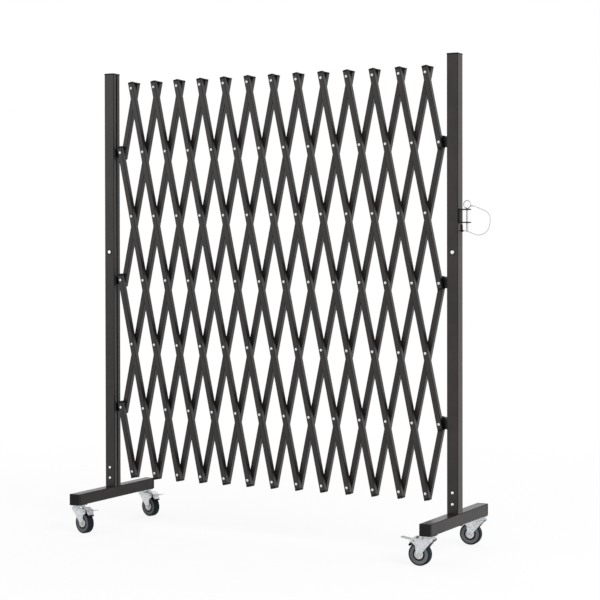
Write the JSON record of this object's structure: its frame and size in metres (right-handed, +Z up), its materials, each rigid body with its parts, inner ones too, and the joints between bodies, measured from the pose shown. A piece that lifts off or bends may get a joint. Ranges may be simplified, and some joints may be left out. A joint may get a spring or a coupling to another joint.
{
  "type": "expandable safety barrier",
  "caption": "Free-standing expandable barrier: a scissor lattice of rectangular tubes between two slotted posts on swivel-caster beams, with a latch pin for linking units.",
  "frame": {"origin": "on the floor under the wheels, in the middle plane of the posts and at the middle of the whole width, 21 mm to the right of midway between the posts because the latch stands out on the right", "axes": "+X from the left post to the right post, +Y from the front (the rivet heads' side) to the back, +Z up"},
  "size_m": [1.5264, 0.4964, 1.6703],
  "materials": {
    "powder_coat": "satin dark grey powder coat",
    "black_plastic": "moulded black plastic",
    "black_bracket": "black coated steel",
    "zinc_plate": "bright zinc plate",
    "pin_steel": "plain steel",
    "grey_tyre": "dark grey rubber",
    "cable_grey": "plastic-coated wire cable"
  },
  "bodies": {
    "left_end": {"post_left": "powder_coat", "post_cap_left": "black_plastic", "base_beam_left": "powder_coat", "bracket_left_middle": "black_bracket"},
    "front_bar_01": {"front_bar_01": "powder_coat"},
    "front_bar_02": {"front_bar_02": "powder_coat"},
    "front_bar_03": {"front_bar_03": "powder_coat"},
    "front_bar_04": {"front_bar_04": "powder_coat"},
    "front_bar_05": {"front_bar_05": "powder_coat"},
    "front_bar_06": {"front_bar_06": "powder_coat"},
    "front_bar_07": {"front_bar_07": "powder_coat"},
    "front_bar_08": {"front_bar_08": "powder_coat"},
    "front_bar_09": {"front_bar_09": "powder_coat"},
    "front_bar_10": {"front_bar_10": "powder_coat"},
    "front_bar_11": {"front_bar_11": "powder_coat"},
    "front_bar_12": {"front_bar_12": "powder_coat"},
    "front_bar_13": {"front_bar_13": "powder_coat"},
    "front_bar_14": {"front_bar_14": "powder_coat"},
    "front_bar_15": {"front_bar_15": "powder_coat"},
    "front_bar_16": {"front_bar_16": "powder_coat"},
    "back_bar_01": {"back_bar_01": "powder_coat"},
    "back_bar_02": {"back_bar_02": "powder_coat"},
    "back_bar_03": {"back_bar_03": "powder_coat"},
    "back_bar_04": {"back_bar_04": "powder_coat"},
    "back_bar_05": {"back_bar_05": "powder_coat"},
    "back_bar_06": {"back_bar_06": "powder_coat"},
    "back_bar_07": {"back_bar_07": "powder_coat"},
    "back_bar_08": {"back_bar_08": "powder_coat"},
    "back_bar_09": {"back_bar_09": "powder_coat"},
    "back_bar_10": {"back_bar_10": "powder_coat"},
    "back_bar_11": {"back_bar_11": "powder_coat"},
    "back_bar_12": {"back_bar_12": "powder_coat"},
    "back_bar_13": {"back_bar_13": "powder_coat"},
    "back_bar_14": {"back_bar_14": "powder_coat"},
    "back_bar_15": {"back_bar_15": "powder_coat"},
    "back_bar_16": {"back_bar_16": "powder_coat"},
    "right_end": {"post_right": "powder_coat", "post_cap_right": "black_plastic", "base_beam_right": "powder_coat", "bracket_right_middle": "black_bracket", "latch_keeper": "black_bracket", "latch_lanyard": "cable_grey"},
    "slider_left_upper": {"slider_left_upper": "black_bracket"},
    "slider_left_lower": {"slider_left_lower": "black_bracket"},
    "slider_right_upper": {"slider_right_upper": "black_bracket"},
    "slider_right_lower": {"slider_right_lower": "black_bracket"},
    "latch_pin": {"latch_pin": "pin_steel"},
    "caster_fork_front_left": {"caster_fork_front_left": "zinc_plate"},
    "caster_wheel_front_left": {"caster_wheel_front_left": "grey_tyre"},
    "brake_pedal_front_left": {"brake_pedal_front_left": "zinc_plate"},
    "caster_fork_back_left": {"caster_fork_back_left": "zinc_plate"},
    "caster_wheel_back_left": {"caster_wheel_back_left": "grey_tyre"},
    "brake_pedal_back_left": {"brake_pedal_back_left": "zinc_plate"},
    "caster_fork_front_right": {"caster_fork_front_right": "zinc_plate"},
    "caster_wheel_front_right": {"caster_wheel_front_right": "grey_tyre"},
    "brake_pedal_front_right": {"brake_pedal_front_right": "zinc_plate"},
    "caster_fork_back_right": {"caster_fork_back_right": "zinc_plate"},
    "caster_wheel_back_right": {"caster_wheel_back_right": "grey_tyre"},
    "brake_pedal_back_right": {"brake_pedal_back_right": "zinc_plate"}
  },
  "joints": [
    {"name": "lattice_fold", "type": "hinge", "parent": "left_end", "child": "front_bar_02", "pos_m": [-0.65878, 0, 0.9056], "axis": [0, -1, 0], "range_deg": [-9.2, 28.2]},
    {"name": "front_bar_01_turn", "type": "hinge", "parent": "back_bar_04", "child": "front_bar_01", "pos_m": [-0.6097, 0, 0.20082], "axis": [0, -1, 0], "range_deg": [-19, 57]},
    {"name": "front_bar_03_turn", "type": "hinge", "parent": "back_bar_05", "child": "front_bar_03", "pos_m": [-0.46246, 0, 0.43574], "axis": [0, -1, 0], "range_deg": [-19, 57]},
    {"name": "front_bar_04_turn", "type": "hinge", "parent": "back_bar_05", "child": "front_bar_04", "pos_m": [-0.41338, 0, 0.67067], "axis": [0, -1, 0], "range_deg": [-19, 57]},
    {"name": "front_bar_05_turn", "type": "hinge", "parent": "back_bar_05", "child": "front_bar_05", "pos_m": [-0.3643, 0, 0.9056], "axis": [0, -1, 0], "range_deg": [-19, 57]},
    {"name": "front_bar_06_turn", "type": "hinge", "parent": "back_bar_05", "child": "front_bar_06", "pos_m": [-0.31522, 0, 1.14053], "axis": [0, -1, 0], "range_deg": [-19, 57]},
    {"name": "front_bar_07_turn", "type": "hinge", "parent": "back_bar_05", "child": "front_bar_07", "pos_m": [-0.26615, 0, 1.37546], "axis": [0, -1, 0], "range_deg": [-19, 57]},
    {"name": "front_bar_08_turn", "type": "hinge", "parent": "back_bar_05", "child": "front_bar_08", "pos_m": [-0.21707, 0, 1.61038], "axis": [0, -1, 0], "range_deg": [-19, 57]},
    {"name": "front_bar_09_turn", "type": "hinge", "parent": "back_bar_11", "child": "front_bar_09", "pos_m": [0.12649, 0, 0.43574], "axis": [0, -1, 0], "range_deg": [-19, 57]},
    {"name": "front_bar_10_turn", "type": "hinge", "parent": "back_bar_11", "child": "front_bar_10", "pos_m": [0.17557, 0, 0.67067], "axis": [0, -1, 0], "range_deg": [-19, 57]},
    {"name": "front_bar_11_turn", "type": "hinge", "parent": "back_bar_11", "child": "front_bar_11", "pos_m": [0.22465, 0, 0.9056], "axis": [0, -1, 0], "range_deg": [-19, 57]},
    {"name": "front_bar_12_turn", "type": "hinge", "parent": "back_bar_11", "child": "front_bar_12", "pos_m": [0.27372, 0, 1.14053], "axis": [0, -1, 0], "range_deg": [-19, 57]},
    {"name": "front_bar_13_turn", "type": "hinge", "parent": "back_bar_11", "child": "front_bar_13", "pos_m": [0.3228, 0, 1.37546], "axis": [0, -1, 0], "range_deg": [-19, 57]},
    {"name": "front_bar_14_turn", "type": "hinge", "parent": "back_bar_11", "child": "front_bar_14", "pos_m": [0.37188, 0, 1.61038], "axis": [0, -1, 0], "range_deg": [-19, 57]},
    {"name": "front_bar_15_turn", "type": "hinge", "parent": "back_bar_15", "child": "front_bar_15", "pos_m": [0.61728, 0, 0.9056], "axis": [0, -1, 0], "range_deg": [-19, 57]},
    {"name": "front_bar_16_turn", "type": "hinge", "parent": "back_bar_14", "child": "front_bar_16", "pos_m": [0.61728, 0, 1.37546], "axis": [0, -1, 0], "range_deg": [-19, 57]},
    {"name": "back_bar_01_turn", "type": "hinge", "parent": "front_bar_03", "child": "back_bar_01", "pos_m": [-0.65878, 0, 1.37546], "axis": [0, -1, 0], "range_deg": [-57, 19]},
    {"name": "back_bar_02_turn", "type": "hinge", "parent": "front_bar_02", "child": "back_bar_02", "pos_m": [-0.65878, 0, 0.9056], "axis": [0, -1, 0], "range_deg": [-57, 19]},
    {"name": "back_bar_03_turn", "type": "hinge", "parent": "front_bar_02", "child": "back_bar_03", "pos_m": [-0.6097, 0, 0.67067], "axis": [0, -1, 0], "range_deg": [-57, 19]},
    {"name": "back_bar_04_turn", "type": "hinge", "parent": "front_bar_02", "child": "back_bar_04", "pos_m": [-0.56062, 0, 0.43574], "axis": [0, -1, 0], "range_deg": [-57, 19]},
    {"name": "back_bar_05_turn", "type": "hinge", "parent": "front_bar_02", "child": "back_bar_05", "pos_m": [-0.51154, 0, 0.20082], "axis": [0, -1, 0], "range_deg": [-57, 19]},
    {"name": "back_bar_06_turn", "type": "hinge", "parent": "front_bar_08", "child": "back_bar_06", "pos_m": [-0.16799, 0, 1.37546], "axis": [0, -1, 0], "range_deg": [-57, 19]},
    {"name": "back_bar_07_turn", "type": "hinge", "parent": "front_bar_08", "child": "back_bar_07", "pos_m": [-0.11891, 0, 1.14053], "axis": [0, -1, 0], "range_deg": [-57, 19]},
    {"name": "back_bar_08_turn", "type": "hinge", "parent": "front_bar_08", "child": "back_bar_08", "pos_m": [-0.06983, 0, 0.9056], "axis": [0, -1, 0], "range_deg": [-57, 19]},
    {"name": "back_bar_09_turn", "type": "hinge", "parent": "front_bar_08", "child": "back_bar_09", "pos_m": [-0.02075, 0, 0.67067], "axis": [0, -1, 0], "range_deg": [-57, 19]},
    {"name": "back_bar_10_turn", "type": "hinge", "parent": "front_bar_08", "child": "back_bar_10", "pos_m": [0.02833, 0, 0.43574], "axis": [0, -1, 0], "range_deg": [-57, 19]},
    {"name": "back_bar_11_turn", "type": "hinge", "parent": "front_bar_08", "child": "back_bar_11", "pos_m": [0.07741, 0, 0.20082], "axis": [0, -1, 0], "range_deg": [-57, 19]},
    {"name": "back_bar_12_turn", "type": "hinge", "parent": "front_bar_14", "child": "back_bar_12", "pos_m": [0.42096, 0, 1.37546], "axis": [0, -1, 0], "range_deg": [-57, 19]},
    {"name": "back_bar_13_turn", "type": "hinge", "parent": "front_bar_14", "child": "back_bar_13", "pos_m": [0.47004, 0, 1.14053], "axis": [0, -1, 0], "range_deg": [-57, 19]},
    {"name": "back_bar_14_turn", "type": "hinge", "parent": "front_bar_14", "child": "back_bar_14", "pos_m": [0.51912, 0, 0.9056], "axis": [0, -1, 0], "range_deg": [-57, 19]},
    {"name": "back_bar_15_turn", "type": "hinge", "parent": "front_bar_14", "child": "back_bar_15", "pos_m": [0.5682, 0, 0.67067], "axis": [0, -1, 0], "range_deg": [-57, 19]},
    {"name": "back_bar_16_turn", "type": "hinge", "parent": "front_bar_14", "child": "back_bar_16", "pos_m": [0.61728, 0, 0.43574], "axis": [0, -1, 0], "range_deg": [-57, 19]},
    {"name": "right_end_turn", "type": "hinge", "parent": "back_bar_15", "child": "right_end", "pos_m": [0.61728, 0, 0.9056], "axis": [0, -1, 0], "range_deg": [-9.5, 28.5]},
    {"name": "slider_left_upper_turn", "type": "hinge", "parent": "front_bar_03", "child": "slider_left_upper", "pos_m": [-0.65878, 0, 1.37546], "axis": [0, -1, 0], "range_deg": [-28.5, 9.5]},
    {"name": "slider_left_lower_turn", "type": "hinge", "parent": "back_bar_03", "child": "slider_left_lower", "pos_m": [-0.65878, 0, 0.43574], "axis": [0, -1, 0], "range_deg": [-9.5, 28.5]},
    {"name": "slider_right_upper_turn", "type": "hinge", "parent": "back_bar_14", "child": "slider_right_upper", "pos_m": [0.61728, 0, 1.37546], "axis": [0, -1, 0], "range_deg": [-9.5, 28.5]},
    {"name": "slider_right_lower_turn", "type": "hinge", "parent": "front_bar_14", "child": "slider_right_lower", "pos_m": [0.61728, 0, 0.43574], "axis": [0, -1, 0], "range_deg": [-28.5, 9.5]},
    {"name": "latch_pin_slide", "type": "slide", "parent": "right_end", "child": "latch_pin", "axis": [0, 0, 1], "range_m": [0, 0.06]},
    {"name": "caster_swivel_front_left", "type": "hinge", "parent": "left_end", "child": "caster_fork_front_left", "pos_m": [-0.70778, -0.2145, 0.1], "axis": [0, 0, 1], "continuous": true},
    {"name": "caster_roll_front_left", "type": "hinge", "parent": "caster_fork_front_left", "child": "caster_wheel_front_left", "pos_m": [-0.67867, -0.22176, 0.0375], "axis": [0.2419, 0.9703, 0], "continuous": true},
    {"name": "brake_press_front_left", "type": "hinge", "parent": "caster_fork_front_left", "child": "brake_pedal_front_left", "pos_m": [-0.66314, -0.22563, 0.081], "axis": [0.2419, 0.9703, 0], "range_deg": [0, 6.5]},
    {"name": "caster_swivel_back_left", "type": "hinge", "parent": "left_end", "child": "caster_fork_back_left", "pos_m": [-0.70778, 0.2145, 0.1], "axis": [0, 0, 1], "continuous": true},
    {"name": "caster_roll_back_left", "type": "hinge", "parent": "caster_fork_back_left", "child": "caster_wheel_back_left", "pos_m": [-0.67867, 0.20724, 0.0375], "axis": [0.2419, 0.9703, 0], "continuous": true},
    {"name": "brake_press_back_left", "type": "hinge", "parent": "caster_fork_back_left", "child": "brake_pedal_back_left", "pos_m": [-0.66314, 0.20337, 0.081], "axis": [0.2419, 0.9703, 0], "range_deg": [0, 6.5]},
    {"name": "caster_swivel_front_right", "type": "hinge", "parent": "right_end", "child": "caster_fork_front_right", "pos_m": [0.66628, -0.2145, 0.1], "axis": [0, 0, 1], "continuous": true},
    {"name": "caster_roll_front_right", "type": "hinge", "parent": "caster_fork_front_right", "child": "caster_wheel_front_right", "pos_m": [0.63628, -0.2145, 0.0375], "axis": [0, -1, 0], "continuous": true},
    {"name": "brake_press_front_right", "type": "hinge", "parent": "caster_fork_front_right", "child": "brake_pedal_front_right", "pos_m": [0.62028, -0.2145, 0.081], "axis": [0, -1, 0], "range_deg": [0, 6.5]},
    {"name": "caster_swivel_back_right", "type": "hinge", "parent": "right_end", "child": "caster_fork_back_right", "pos_m": [0.66628, 0.2145, 0.1], "axis": [0, 0, 1], "continuous": true},
    {"name": "caster_roll_back_right", "type": "hinge", "parent": "caster_fork_back_right", "child": "caster_wheel_back_right", "pos_m": [0.63635, 0.21241, 0.0375], "axis": [0.0698, -0.9976, 0], "continuous": true},
    {"name": "brake_press_back_right", "type": "hinge", "parent": "caster_fork_back_right", "child": "brake_pedal_back_right", "pos_m": [0.62039, 0.21129, 0.081], "axis": [0.0698, -0.9976, 0], "range_deg": [0, 6.5]}
  ],
  "couplings": [
    {"joint": "front_bar_01_turn", "follows": "lattice_fold", "ratio": 2},
    {"joint": "front_bar_03_turn", "follows": "lattice_fold", "ratio": 2},
    {"joint": "front_bar_04_turn", "follows": "lattice_fold", "ratio": 2},
    {"joint": "front_bar_05_turn", "follows": "lattice_fold", "ratio": 2},
    {"joint": "front_bar_06_turn", "follows": "lattice_fold", "ratio": 2},
    {"joint": "front_bar_07_turn", "follows": "lattice_fold", "ratio": 2},
    {"joint": "front_bar_08_turn", "follows": "lattice_fold", "ratio": 2},
    {"joint": "front_bar_09_turn", "follows": "lattice_fold", "ratio": 2},
    {"joint": "front_bar_10_turn", "follows": "lattice_fold", "ratio": 2},
    {"joint": "front_bar_11_turn", "follows": "lattice_fold", "ratio": 2},
    {"joint": "front_bar_12_turn", "follows": "lattice_fold", "ratio": 2},
    {"joint": "front_bar_13_turn", "follows": "lattice_fold", "ratio": 2},
    {"joint": "front_bar_14_turn", "follows": "lattice_fold", "ratio": 2},
    {"joint": "front_bar_15_turn", "follows": "lattice_fold", "ratio": 2},
    {"joint": "front_bar_16_turn", "follows": "lattice_fold", "ratio": 2},
    {"joint": "back_bar_01_turn", "follows": "lattice_fold", "ratio": -2},
    {"joint": "back_bar_02_turn", "follows": "lattice_fold", "ratio": -2},
    {"joint": "back_bar_03_turn", "follows": "lattice_fold", "ratio": -2},
    {"joint": "back_bar_04_turn", "follows": "lattice_fold", "ratio": -2},
    {"joint": "back_bar_05_turn", "follows": "lattice_fold", "ratio": -2},
    {"joint": "back_bar_06_turn", "follows": "lattice_fold", "ratio": -2},
    {"joint": "back_bar_07_turn", "follows": "lattice_fold", "ratio": -2},
    {"joint": "back_bar_08_turn", "follows": "lattice_fold", "ratio": -2},
    {"joint": "back_bar_09_turn", "follows": "lattice_fold", "ratio": -2},
    {"joint": "back_bar_10_turn", "follows": "lattice_fold", "ratio": -2},
    {"joint": "back_bar_11_turn", "follows": "lattice_fold", "ratio": -2},
    {"joint": "back_bar_12_turn", "follows": "lattice_fold", "ratio": -2},
    {"joint": "back_bar_13_turn", "follows": "lattice_fold", "ratio": -2},
    {"joint": "back_bar_14_turn", "follows": "lattice_fold", "ratio": -2},
    {"joint": "back_bar_15_turn", "follows": "lattice_fold", "ratio": -2},
    {"joint": "back_bar_16_turn", "follows": "lattice_fold", "ratio": -2},
    {"joint": "right_end_turn", "follows": "lattice_fold", "ratio": 1},
    {"joint": "slider_left_upper_turn", "follows": "lattice_fold", "ratio": -1},
    {"joint": "slider_left_lower_turn", "follows": "lattice_fold", "ratio": 1},
    {"joint": "slider_right_upper_turn", "follows": "lattice_fold", "ratio": 1},
    {"joint": "slider_right_lower_turn", "follows": "lattice_fold", "ratio": -1}
  ]
}
